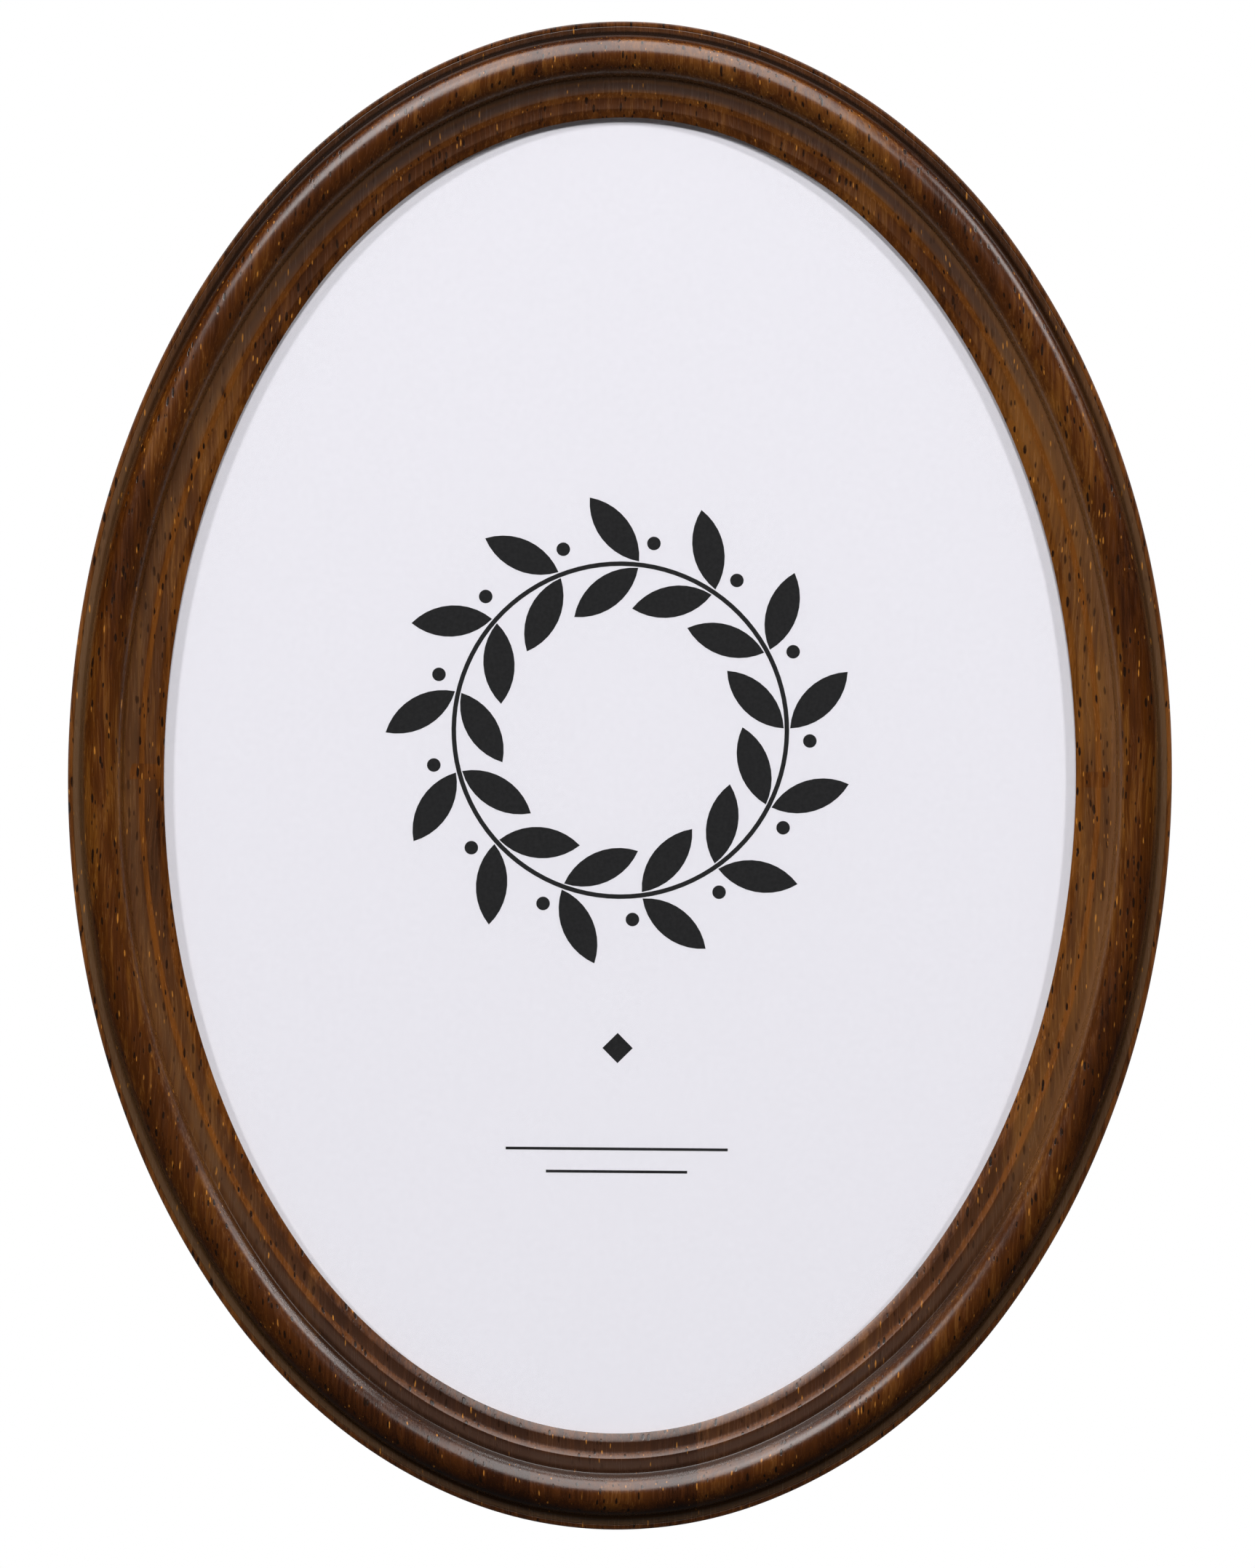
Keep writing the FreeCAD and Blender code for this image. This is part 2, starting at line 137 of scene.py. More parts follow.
# Walnut with a brown stain, glazed and rubbed, with painted shade, painted light and painted sheen; scales
# and cells are counted per metre
walnut = {
    "deep": (0.0160, 0.0036, 0.0003),
    "brown": (0.0440, 0.0112, 0.0007),
    "golden": (0.1200, 0.0420, 0.0050),
    "glazeEnds": (0.0380, 0.0190, 0.0120),
    # The next colour is glaze with a painted grey sheen, used at the sides
    "glazeAndSheenSides": (0.0740, 0.0370, 0.0160),
    "rubbed": (0.1050, 0.0320, 0.0040),
    # The next colour paints light into shaded grooves
    "paintedGrooveLight": (0.0950, 0.0410, 0.0150),
    "pore": (0.0080, 0.0026, 0.0006),
    "fleck": (0.3200, 0.1250, 0.0180),
    "raw": (0.2600, 0.1350, 0.0600),
    "rawShade": 0.75,
    # Across the moulding: share of the width, then how much is glazed, rubbed, in a groove and lit by painted
    # side light
    "finish": (
        (0.000, 0.00, 0.6, 0.0, 0.6), (0.060, 0.00, 0.5, 0.0, 0.6), (0.100, 0.45, 0.0, 0.1, 0.7),
        (0.190, 0.55, 0.0, 0.0, 0.8), (0.210, 0.00, 0.9, 0.0, 1.0), (0.250, 0.00, 0.9, 0.0, 1.0),
        (0.272, 0.50, 0.0, 0.2, 1.0), (0.300, 1.00, 0.0, 0.0, 1.0), (0.350, 1.00, 0.0, 0.0, 1.0),
        (0.390, 0.40, 0.0, 0.8, 1.0), (0.445, 0.30, 0.0, 0.8, 1.0), (0.495, 0.10, 0.0, 0.0, 0.6),
        (0.600, 0.00, 0.0, 0.0, 0.2), (0.815, 0.00, 0.0, 0.0, 0.0), (0.840, 0.60, 0.0, 0.8, 0.3),
        (0.893, 1.00, 0.0, 1.0, 0.3), (0.910, 1.00, 0.0, 0.2, 0.3), (0.945, 1.00, 0.0, 0.1, 0.3),
        (0.955, 0.00, 0.6, 0.0, 0.2),
    ),
    "lipEnds": 0.21, "outerStarts": 0.8, "sideStarts": 0.985,
    # Height as a share of the half height, between which the ends and the top begin
    "ends": (0.30, 0.85), "top": (0.2, 0.8),
    # Grain: stretch along the log, scale, detail and roughness of each noise, and where it is sharpened
    "waver": 5 * mm, "waverScale": 55, "waverDetail": 2, "waverStretch": 0.5,
    "staveShift": (0.37, 0.53, 0.71),
    "broad": (0.35, 70, 2), "torn": (0.25, 3000, 2),
    "streak": (0.05, 900, 3, 0.6), "streakEdges": (0.36, 0.66),
    "fibre": (0.04, 2600, 2, 0.6), "fibreEdges": (0.38, 0.64),
    # Tone: what each part of the grain adds, the painted side light, the painted shade at the top's edges,
    # and at which tones the three browns lie
    "streakTone": 0.18, "fibreTone": 0.12, "middle": 0.65, "endContrast": -0.2, "paintedSideLightTone": 0.32,
    "topEdgeShadeTone": -0.25, "lipShadeShare": 0.3, "browns": (0.20, 0.50, 0.80), "rightward": (0.4, 0.6),
    # Glaze, whose grey at the sides is painted sheen and whose thinning at the top is painted shade; rubbing;
    # painted shade in the grooves
    "glazeAtEnds": (0.5, 0.5), "lipGlazeAtTop": -0.75, "outerGlazeAtTop": -0.85, "glazeCloud": (0.8, 0.5),
    "wearStreak": 0.6, "wearFibre": 0.25, "wearRubbed": 1.5, "wearStart": 0.8, "wearMost": 0.9,
    "wearAtEnds": 0.4, "outerGrooveShade": (0.8, 0.2), "grooveShadeMost": 0.9,
    # Pores and flecks: cells, inner and outer reach as shares of a cell, and the share of the cells
    "boldPores": ((1000, 1000, 270), (0.18, 0.27), 0.8),
    "finePores": ((2600, 2600, 520), (0.12, 0.30), 0.7), "fineDepth": 0.3,
    "flecks": ((1350, 1350, 240), (0.11, 0.20), 0.34), "fleckMost": 0.8,
    "poreSpread": (0.9, 0.7), "poreTorn": 0.14, "glazedPores": 0.7,
    "roughness": 0.22, "fibreRoughness": 0.06, "sideRoughness": 0.3, "rawRoughness": 0.4, "specular": 0.33,
    "poreDepth": 0.05 * mm, "reliefStrength": 0.5, "fibreRelief": 0.06, "rebateMargin": 0.05 * mm,
}


def makeWalnut():
    w = walnut
    material, tree, shader = newMaterial("walnut")
    stave, tint, across = (attribute(tree, name) for name in ("stave", "tint", "across"))
    coords = addNode(tree, "ShaderNodeTexCoord").outputs["Object"]
    place = addNode(tree, "ShaderNodeSeparateXYZ", {0: coords})

    def plus(a, b):
        return calc(tree, "ADD", a, b)

    def minus(a, b, clamp=False):
        return calc(tree, "SUBTRACT", a, b, clamp=clamp)

    def times(a, b, clamp=False):
        return calc(tree, "MULTIPLY", a, b, clamp=clamp)

    def timesPlus(a, b, c, clamp=False):
        return calc(tree, "MULTIPLY_ADD", a, b, c, clamp=clamp)

    def isAbove(a, b):
        return calc(tree, "GREATER_THAN", a, b)

    def isBelow(a, b):
        return calc(tree, "LESS_THAN", a, b)

    def chosen(factor, a, b):
        return addNode(tree, "ShaderNodeMix", {0: factor, 2: a, 3: b}).outputs[0]

    def vectors(operation, a, b):
        return addNode(tree, "ShaderNodeVectorMath", {0: a, 1: b}, operation=operation).outputs[0]

    def painted(color, name, factor):
        return mixColor(tree, factor, color, (*w[name], 1))

    def along(scale):
        return addNode(tree, "ShaderNodeMapping", {"Vector": grain, "Scale": scale}).outputs[0]

    def grainNoise(stretch, scale, detail, roughness=0.5):
        return noise(tree, along((1, 1, stretch)), scale, detail, roughness)

    def sharpened(value, low, high):
        return addNode(tree, "ShaderNodeMapRange", {
            "Value": value, "From Min": low, "From Max": high,
        }, interpolation_type="SMOOTHSTEP").outputs[0]

    def pores(cellCount, reaches, share):
        cells = addNode(tree, "ShaderNodeTexVoronoi", {"Vector": along(cellCount), "Scale": 1.0})
        chance = addNode(tree, "ShaderNodeSeparateColor", {"Color": cells.outputs["Color"]})
        reach = times(cells.outputs["Distance"], timesPlus(chance.outputs[1], *w["poreSpread"]))
        reach = timesPlus(torn, w["poreTorn"], reach)
        return times(sharpened(reach, reaches[1], reaches[0]), isBelow(chance.outputs[0], share))

    # Grain runs upright and wavers a little; each stave is cut from another place of the log
    waved = stretched(tree, (1, 1, w["waverStretch"]))
    bend = addNode(tree, "ShaderNodeTexNoise", {
        "Vector": waved, "Scale": w["waverScale"], "Detail": w["waverDetail"], "W": stave,
    }, noise_dimensions="4D").outputs["Color"]
    bend = vectors("MULTIPLY", vectors("SUBTRACT", bend, (0.5, 0.5, 0.5)), (w["waver"], w["waver"], 0))
    shift = addNode(tree, "ShaderNodeVectorMath", {0: w["staveShift"], "Scale": stave}, operation="SCALE")
    grain = vectors("ADD", vectors("ADD", coords, bend), shift.outputs[0])
    torn = minus(grainNoise(*w["torn"]), 0.5)
    broad = grainNoise(*w["broad"])
    streak = sharpened(grainNoise(*w["streak"]), *w["streakEdges"])
    fibre = sharpened(grainNoise(*w["fibre"]), *w["fibreEdges"])

    # Where on the oval and where across the moulding
    level = calc(tree, "DIVIDE", place.outputs["Z"], halfHeight)
    atEnds = sharpened(calc(tree, "ABSOLUTE", level), *w["ends"])
    atTop = sharpened(level, *w["top"])
    atBottom = minus(atEnds, atTop, clamp=True)
    rightward = timesPlus(calc(tree, "DIVIDE", place.outputs["X"], halfWidth), *w["rightward"])
    across = calc(tree, "MAXIMUM", across, 0.0)
    isOuter = isAbove(across, w["outerStarts"])
    isLip = isBelow(across, w["lipEnds"])
    bands = bandsOf(tree, across, w["finish"])
    glaze, rubbed, groove = addNode(tree, "ShaderNodeSeparateColor", {"Color": bands["Color"]}).outputs

    # Brown of the wood, with less contrast at the ends, painted side light on the right side's inner part,
    # and painted shade on the lip and outer edge at the top
    figure = timesPlus(streak, w["streakTone"], timesPlus(fibre, w["fibreTone"], broad))
    tone = timesPlus(minus(figure, w["middle"]), timesPlus(atEnds, w["endContrast"], 1.0), 0.5)
    # Painted side light: the inner part at the right side is drawn lighter, as where light from the left
    # falls on it
    paintedSideLight = times(bands["Alpha"], minus(1.0, atEnds))
    tone = timesPlus(times(paintedSideLight, rightward), w["paintedSideLightTone"], plus(tone, tint))
    # Painted shade: the lip and the outer edge are drawn darker at the top
    tone = timesPlus(times(timesPlus(isLip, w["lipShadeShare"], isOuter), atTop), w["topEdgeShadeTone"], tone)
    color = ramp(tree, tone, list(zip(w["browns"], (w["deep"], w["brown"], w["golden"]))))

    # Stain rubbed off the high places
    wear = timesPlus(streak, w["wearStreak"], minus(times(rubbed, w["wearRubbed"]), w["wearStart"]))
    wear = timesPlus(fibre, w["wearFibre"], wear, clamp=True)
    wear = times(wear, minus(w["wearMost"], times(atEnds, w["wearAtEnds"])), clamp=True)
    color = painted(color, "rubbed", wear)

    # Glaze left in the low places, dark at the ends; its grey at the sides is painted sheen, and it is
    # thinned on the lip and outer edge at the top as painted shade
    amount = timesPlus(times(isLip, atTop), w["lipGlazeAtTop"], timesPlus(atEnds, *w["glazeAtEnds"]))
    amount = chosen(isOuter, amount, timesPlus(atTop, w["outerGlazeAtTop"], 1.0))
    pooledGlazeAndSheen = times(times(glaze, amount, clamp=True), timesPlus(broad, *w["glazeCloud"]), clamp=True)
    atInnerEnds = times(atEnds, minus(1.0, isOuter))
    # Glaze colour: dark at the ends, grey with painted sheen at the sides
    glazeAndSheenColor = mixColor(tree, atInnerEnds, (*w["glazeAndSheenSides"], 1), (*w["glazeEnds"], 1))
    color = mixColor(tree, pooledGlazeAndSheen, color, glazeAndSheenColor)

    # Grooves: painted light, a lighter colour, in the inner ones at the right side and the top; painted
    # shade, dark, in the inner ones at the bottom and in the outer ones, most at the top
    paintedGrooveLightMask = times(groove, minus(minus(1.0, isOuter), atBottom, clamp=True))
    color = painted(color, "paintedGrooveLight", times(paintedGrooveLightMask, calc(tree, "MAXIMUM", rightward, atTop)))
    # Painted shade: grooves drawn dark at the bottom and outside, most at the top outside
    paintedGrooveShade = chosen(isOuter, atBottom, timesPlus(atTop, *w["outerGrooveShade"]))
    paintedGrooveShade = times(groove, times(paintedGrooveShade, w["grooveShadeMost"]))

    # Open pores and bright flecks
    pore = calc(tree, "MAXIMUM", pores(*w["boldPores"]), times(pores(*w["finePores"]), w["fineDepth"]))
    pore = times(pore, minus(1.0, groove))
    pore = times(pore, minus(1.0, times(pooledGlazeAndSheen, w["glazedPores"])), clamp=True)
    fleck = times(pores(*w["flecks"]), minus(1.0, pore))
    color = painted(color, "fleck", times(fleck, w["fleckMost"]))
    # Pores in their dark colour, and the painted groove shade in the same colour
    color = painted(color, "pore", calc(tree, "MAXIMUM", pore, paintedGrooveShade))

    # Rebate and back are left raw
    height = minus(backY, place.outputs["Y"])
    isBehind = isBelow(height, moulding["rebateDepth"] + w["rebateMargin"])
    isRaw = times(isBehind, isBelow(across, w["sideStarts"]))
    raw = mixColor(tree, streak, (*w["raw"], 1), (*(w["rawShade"] * c for c in w["raw"]), 1))
    tree.links.new(mixColor(tree, isRaw, color, raw), shader.inputs["Base Color"])

    rough = timesPlus(fibre, w["fibreRoughness"], w["roughness"])
    rough = timesPlus(isAbove(across, w["sideStarts"]), w["sideRoughness"], rough)
    tree.links.new(timesPlus(isRaw, w["rawRoughness"], rough, clamp=True), shader.inputs["Roughness"])
    shader.inputs["Specular IOR Level"].default_value = w["specular"]
    relief = times(fibre, timesPlus(groove, -w["fibreRelief"], w["fibreRelief"]))
    addRelief(tree, shader, minus(relief, pore), w["poreDepth"], w["reliefStrength"])
    return material


paper = {
    "shades": ((0.3, (0.875, 0.860, 0.920)), (0.7, (0.905, 0.890, 0.950))),
    "mottle": (900, 3, 0.6), "roughness": 0.75,
}
glass = {
    "shades": ((0.2, (0.95, 0.98, 0.97)), (0.8, (0.98, 0.99, 0.985))),
    "smear": (40, 2), "facingPower": 5.0, "mirroring": (0.96, 0.04),
}
steel = {
    "wear": (700, 4, 0.6), "wearEdges": (0.35, 0.6), "wearRoughness": 0.12,
    "scratch": (6000, 2), "scratchStretch": 0.08, "scratchDepth": 0.004 * mm, "reliefStrength": 0.4,
}
board = {
    "speck": (4, 0.7), "cloud": (30, 2), "speckShare": 0.7, "toneEdges": (0.36, 0.62),
    "speckDepth": 0.05 * mm, "reliefStrength": 0.5,
}
ink = {
    "shades": ((0.3, (0.010, 0.010, 0.011)), (0.7, (0.016, 0.016, 0.017))),
    "press": (1500, 3), "roughness": 0.6, "specular": 0.1,
}


def makePaper():
    material, tree, shader = newMaterial("insertPaper")
    mottle = noise(tree, stretched(tree), *paper["mottle"])
    tree.links.new(ramp(tree, mottle, paper["shades"]), shader.inputs["Base Color"])
    shader.inputs["Roughness"].default_value = paper["roughness"]
    return material


def makeGlass():  # clear, with the mirroring of glass as its opacity
    material, tree, shader = newMaterial("floatGlass")
    smear = noise(tree, stretched(tree), *glass["smear"])
    tree.links.new(ramp(tree, smear, glass["shades"]), shader.inputs["Base Color"])
    facing = addNode(tree, "ShaderNodeLayerWeight", {"Blend": 0.5}).outputs["Facing"]
    glancing = calc(tree, "POWER", facing, glass["facingPower"])
    tree.links.new(calc(tree, "MULTIPLY_ADD", glancing, *glass["mirroring"]), shader.inputs["Alpha"])
    shader.inputs["Metallic"].default_value = 1.0
    shader.inputs["Roughness"].default_value = 0.0
    return material


def makeSteel(name, light, dark, roughness):
    s = steel
    material, tree, shader = newMaterial(name)
    wear = noise(tree, stretched(tree), *s["wear"])
    tree.links.new(ramp(tree, wear, list(zip(s["wearEdges"], (dark, light)))), shader.inputs["Base Color"])
    rough = calc(tree, "MULTIPLY_ADD", wear, s["wearRoughness"], roughness - s["wearRoughness"] / 2)
    tree.links.new(rough, shader.inputs["Roughness"])
    scratch = noise(tree, stretched(tree, (1, 1, s["scratchStretch"])), *s["scratch"])
    addRelief(tree, shader, scratch, s["scratchDepth"], s["reliefStrength"])
    shader.inputs["Metallic"].default_value = 1.0
    return material


def makeBoard(name, light, dark, grain, roughness):
    b = board
    material, tree, shader = newMaterial(name)
    speck = noise(tree, stretched(tree), grain, *b["speck"])
    cloud = calc(tree, "MULTIPLY", noise(tree, stretched(tree), *b["cloud"]), 1 - b["speckShare"])
    value = calc(tree, "MULTIPLY_ADD", speck, b["speckShare"], cloud)
    tree.links.new(ramp(tree, value, list(zip(b["toneEdges"], (dark, light)))), shader.inputs["Base Color"])
    addRelief(tree, shader, speck, b["speckDepth"], b["reliefStrength"])
    shader.inputs["Roughness"].default_value = roughness
    return material


def makeInk():
    material, tree, shader = newMaterial("printedInk")
    press = noise(tree, stretched(tree), *ink["press"])
    tree.links.new(ramp(tree, press, ink["shades"]), shader.inputs["Base Color"])
    shader.inputs["Roughness"].default_value = ink["roughness"]
    shader.inputs["Specular IOR Level"].default_value = ink["specular"]
    return material


# Moulding: a part of its section has a width outward from the sight edge, a rise to the front and a bow
moulding = {
    "rebateClearance": 0.4 * mm,
    "rebateDepth": 8.0 * mm,
    "lipOverlap": 9.8 * mm,
    "lipEdge": 0.4 * mm,
    "lipFace": (1.7 * mm, 0.65 * mm, 0.03 * mm),
    "innerHollow": (2.05 * mm, 0.04 * mm, -0.05 * mm),
    "riser": (1.15 * mm, 0.54 * mm),
    "outerHollow": (3.05 * mm, 0.07 * mm, -0.07 * mm),
    "rollRadius": 4.15 * mm,
    "quirk": (0.5 * mm, 0.28 * mm),
    "bead": (0.55 * mm, 0.006 * mm),
    "beads": 2,
    "scratch": (0.15 * mm, 0.10 * mm),
    "band": 0.65 * mm,
    "edgeRadius": 0.25 * mm,
    "backChamfer": 0.5 * mm,
    "rollSteps": 36,
    "bowSteps": 5,
    "cornerRadius": 0.05 * mm,
    "rollFillet": 0.2 * mm,
    "filletSteps": 5,
    "cornerSteps": 3,
    "sharpAbove": 20.0,
    "smoothBelow": 32.0,
    "stepLength": 1.6 * mm,
    "ringWeld": 0.01 * mm,
    "quarterKnots": (0.0, 32.0, 60.0, 90.0),
    # How much lighter each stave is drawn, in the order in which they are made: lighter at the top right,
    # darker at the bottom left and centre
    "staveTints": (-0.03, -0.05, -0.02, 0.02, 0.13, -0.17, -0.16, -0.02),
}
innerParts = ("lipFace", "innerHollow", "riser", "outerHollow")

materials = {
    "walnut": makeWalnut(),
    "paper": makePaper(),
    "glass": makeGlass(),
    "ink": makeInk(),
    "zinc": makeSteel("zincPlate", (0.66, 0.67, 0.69), (0.56, 0.57, 0.59), 0.30),
    "nickel": makeSteel("nickelPlate", (0.70, 0.67, 0.62), (0.60, 0.57, 0.52), 0.20),
    "fibreboard": makeBoard("fibreboard", (0.36, 0.21, 0.105), (0.20, 0.105, 0.048), 1800, 0.7),
    "card": makeBoard("greyCard", (0.50, 0.46, 0.38), (0.38, 0.34, 0.28), 1200, 0.85),
    "rubber": makeBoard("bumperRubber", (0.030, 0.030, 0.032), (0.015, 0.015, 0.016), 2500, 0.6),
}
print("materials made:", len(materials))


# Shapes
def vertsOf(parts):
    return [part for part in parts if isinstance(part, bmesh.types.BMVert)]


def edgesOf(parts):
    return [part for part in parts if isinstance(part, bmesh.types.BMEdge)]


def faceOutward(bm):
    bmesh.ops.recalc_face_normals(bm, faces=bm.faces[:])


def shadeSmooth(bm, below):
    for f in bm.faces:
        f.smooth = True
    for e in bm.edges:
        e.smooth = e.calc_face_angle(0) < math.radians(below)


def turned(angle, size=4):  # about Y
    return Matrix.Rotation(angle, size, "Y")


def upright():  # stands a flat shape in the XZ plane
    return Matrix.Rotation(math.radians(90), 4, "X")


def makeObject(bm, name, material):
    mesh = bpy.data.meshes.new(name)
    bm.to_mesh(mesh)
    bm.free()
    mesh.materials.append(material)
    piece = bpy.data.objects.new(name, mesh)
    bpy.context.scene.collection.objects.link(piece)
    return piece


def ellipsePoint(t):
    t = math.radians(t)
    return Vector((halfWidth * math.cos(t), 0, halfHeight * math.sin(t)))


def ellipseNormal(t):
    t = math.radians(t)
    return Vector((math.cos(t) / halfWidth, 0, math.sin(t) / halfHeight)).normalized()


def circleThrough(point, normal, other):
    step = other - point
    radius = -step.length_squared / (2 * step.dot(normal))
    return point - radius * normal, radius


def angleOf(direction):
    return math.atan2(direction.z, direction.x)


def twoArcs(t0, t1):  # two tangent arcs along the ellipse: centre, radius, first and last angle
    p0, p1, n0, n1 = ellipsePoint(t0), ellipsePoint(t1), ellipseNormal(t0), ellipseNormal(t1)
    d0, d1 = Vector((-n0.z, 0, n0.x)), Vector((-n1.z, 0, n1.x))
    chord = p1 - p0
    along = chord.dot(d0 + d1)
    bend = 2 * (1 - d0.dot(d1))
    reach = (math.sqrt(along * along + bend * chord.length_squared) - along) / bend
    middle = (p0 + p1 + reach * (d0 - d1)) / 2
    first, r0 = circleThrough(p0, n0, middle)
    last, r1 = circleThrough(p1, n1, middle)
    turn = angleOf(middle - first)
    return [(first, r0, angleOf(n0), turn), (last, r1, turn, angleOf(n1))]


def ovalArcs():
    quarter = []
    knots = moulding["quarterKnots"]
    for t0, t1 in zip(knots, knots[1:]):
        quarter += twoArcs(t0, t1)
    flipped = [(Vector((-c.x, 0, c.z)), r, math.pi - a1, math.pi - a0)
               for c, r, a0, a1 in reversed(quarter)]
    upper = quarter + flipped
    return upper + [(-c, r, a0 + math.pi, a1 + math.pi) for c, r, a0, a1 in upper]


quarterBow = 1 - math.sqrt(0.5)  # of a quarter circle, as a share of its radius


def outlinePen(bm, start):  # draws an outline of straight and bowed steps in the XY plane
    ends = [bm.verts.new(start)]

    def straight(dx, dy):
        ends[:] = bmesh.ops.extrude_vert_indiv(bm, verts=ends)["verts"]
        ends[0].co += Vector((dx, dy, 0))

    def bowed(dx, dy, bow, steps):
        chord = Vector((dx, dy, 0))
        side = Vector((dy, -dx, 0)).normalized()
        radius = (chord.length_squared / 4 + bow * bow) / (2 * bow)
        centre = ends[0].co + chord / 2 + side * (bow - radius)
        spun = bmesh.ops.spin(bm, geom=ends, cent=centre, axis=(0, 0, 1), steps=steps,
                              angle=4 * math.atan(2 * bow / chord.length))
        ends[:] = vertsOf(spun["geom_last"])

    return straight, bowed, ends


def makeSection(bm, x, z):  # the moulding's outline on the level z, with the picture format's edge at x
    m = moulding
    straight, bowed, ends = outlinePen(bm, (x + m["rebateClearance"], backY, z))
    first = ends[0]
    few = m["bowSteps"]
    straight(0, -m["rebateDepth"])
    straight(-m["rebateClearance"] - m["lipOverlap"], 0)
    straight(0, -m["lipEdge"])
    bowed(m["lipFace"][0], -m["lipFace"][1], m["lipFace"][2], few)
    bowed(m["innerHollow"][0], -m["innerHollow"][1], m["innerHollow"][2], few)
    straight(m["riser"][0], -m["riser"][1])
    bowed(m["outerHollow"][0], -m["outerHollow"][1], m["outerHollow"][2], few)
    bowed(2 * m["rollRadius"], 0, m["rollRadius"], m["rollSteps"])
    straight(0, m["quirk"][1])
    straight(m["quirk"][0], -m["quirk"][1])
    for _ in range(m["beads"]):
        bowed(m["bead"][0], 0, m["bead"][1], few)
    straight(m["scratch"][0] / 2, m["scratch"][1])
    straight(m["scratch"][0] / 2, -m["scratch"][1])
    straight(m["band"], 0)
    bowed(m["edgeRadius"], m["edgeRadius"], quarterBow * m["edgeRadius"], few)
    straight(0, backY - m["backChamfer"] - ends[0].co.y)
    straight(-m["backChamfer"], m["backChamfer"])
    bm.edges.new((ends[0], first))


def makeRing():
    m = moulding
    arcs = ovalArcs()
    centre, radius = arcs[0][0], arcs[0][1]
    bm = bmesh.new()
    makeSection(bm, centre.x + radius, centre.z)
    bmesh.ops.edgeloop_fill(bm, edges=bm.edges[:])
    foot = centre.x + radius - m["lipOverlap"] + sum(m[part][0] for part in innerParts)
    front = [v for v in bm.verts if v.co.y < backY - m["rebateDepth"]]
    corner = min(front, key=lambda v: abs(v.co.x - foot))
    bmesh.ops.bevel(bm, geom=[corner], offset=m["rollFillet"], offset_type="OFFSET",
                    segments=m["filletSteps"], profile=0.5, affect="VERTICES", material=-1)
    sharp = [v for v in bm.verts if abs(v.calc_edge_angle(0)) > math.radians(m["sharpAbove"])]
    bmesh.ops.bevel(bm, geom=sharp, offset=m["cornerRadius"], offset_type="OFFSET", segments=m["cornerSteps"],
                    profile=0.5, affect="VERTICES", material=-1)
    bmesh.ops.delete(bm, geom=bm.faces[:], context="FACES_ONLY")
    loop = bm.verts[:] + bm.edges[:]
    for centre, radius, a0, a1 in arcs:
        steps = math.ceil((a1 - a0) * radius / m["stepLength"])
        spun = bmesh.ops.spin(bm, geom=loop, cent=centre, axis=(0, -1, 0), angle=a1 - a0, steps=steps)
        loop = spun["geom_last"]
    bmesh.ops.remove_doubles(bm, verts=bm.verts[:], dist=m["ringWeld"])
    faceOutward(bm)
    return bm, arcs


def mouldingWidth():
    m = moulding
    width = sum(m[part][0] for part in innerParts) + 2 * m["rollRadius"] + m["quirk"][0]
    width += m["beads"] * m["bead"][0] + m["scratch"][0]
    return width + m["band"] + m["edgeRadius"]


def offsetOf(co, arcs):  # how far a point lies outside the line of arcs
    best = None
    for centre, radius, a0, a1 in arcs:
        away = Vector((co.x - centre.x, 0, co.z - centre.z))
        middle = (a0 + a1) / 2
        gap = abs((angleOf(away) - middle + math.pi) % (2 * math.pi) - math.pi) - (a1 - a0) / 2
        if best is None or gap < best[0]:
            best = (gap, away.length - radius)
    return best[1]


def makeStave(ring, arcs, node, low, high, half, index):  # the part of the ring between two glue joints
    bm = ring.copy()
    if half:
        bmesh.ops.delete(bm, geom=[v for v in bm.verts if v.co.z * half < 0], context="VERTS")
    for x, side in ((low, -1), (high, 1)):
        if x is None:
            continue
        cut = bmesh.ops.bisect_plane(bm, geom=bm.verts[:] + bm.edges[:] + bm.faces[:], dist=weld,
                                     plane_co=(x, 0, 0), plane_no=(side, 0, 0), clear_outer=True)
        bmesh.ops.edgeloop_fill(bm, edges=edgesOf(cut["geom_cut"]))
    faceOutward(bm)
    layers = {name: bm.verts.layers.float.new(name) for name in ("stave", "tint", "across")}
    width = mouldingWidth()
    for v in bm.verts:
        v[layers["stave"]] = index
        v[layers["tint"]] = moulding["staveTints"][index - 1]
        v[layers["across"]] = (offsetOf(v.co, arcs) + moulding["lipOverlap"]) / width
    shadeSmooth(bm, moulding["smoothBelow"])
    piece = makeObject(bm, node + "Wood", materials["walnut"])
    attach(piece, "frame")
    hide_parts(node)


def makeMoulding():
    ring, arcs = makeRing()
    near, far = staveEdges["near"], staveEdges["far"]
    makeStave(ring, arcs, "moulding_left", None, -far, 0, 1)
    makeStave(ring, arcs, "moulding_right", far, None, 0, 2)
    index = 3
    for row, half in (("top", 1), ("bottom", -1)):
        for word, low, high in (("left", -far, -near), ("centre", -near, near), ("right", near, far)):
            makeStave(ring, arcs, "moulding_" + row + "_" + word, low, high, half, index)
            index += 1
    ring.free()


makeMoulding()
print("moulding made")

# Print on the sheet: a wreath of leaves and berries, a diamond and two rules
sheetPrint = {
    "middle": (0.0, 9.0 * mm), "ringRadius": 33.0 * mm, "ringWidth": 0.9 * mm, "ringSteps": 96,
    "leafPairs": 13, "leafLength": 16.0 * mm, "leafWidth": 6.2 * mm, "leafTilt": 45.0, "leafSteps": 10,
    "leafStart": 0.9 * mm, "berryRadius": 1.35 * mm, "berryReach": 4.6 * mm, "berryPitchShare": 0.9,
    "berrySegments": 20, "diamondZ": -54.0 * mm, "diamondSize": 3.0 * mm,
    "rules": ((-74.0 * mm, 44.0 * mm), (-78.5 * mm, 28.0 * mm)), "ruleWidth": 0.55 * mm,
    "film": 0.03 * mm, "sunk": 0.005 * mm,
}


def placed(bm, verts, turn, x, z):  # turned in the sheet's plane and moved to its place
    bmesh.ops.rotate(bm, verts=verts, cent=(0, 0, 0), matrix=turned(-turn, 3))
    bmesh.ops.translate(bm, verts=verts, vec=(x, sheetFront + sheetPrint["sunk"], z))


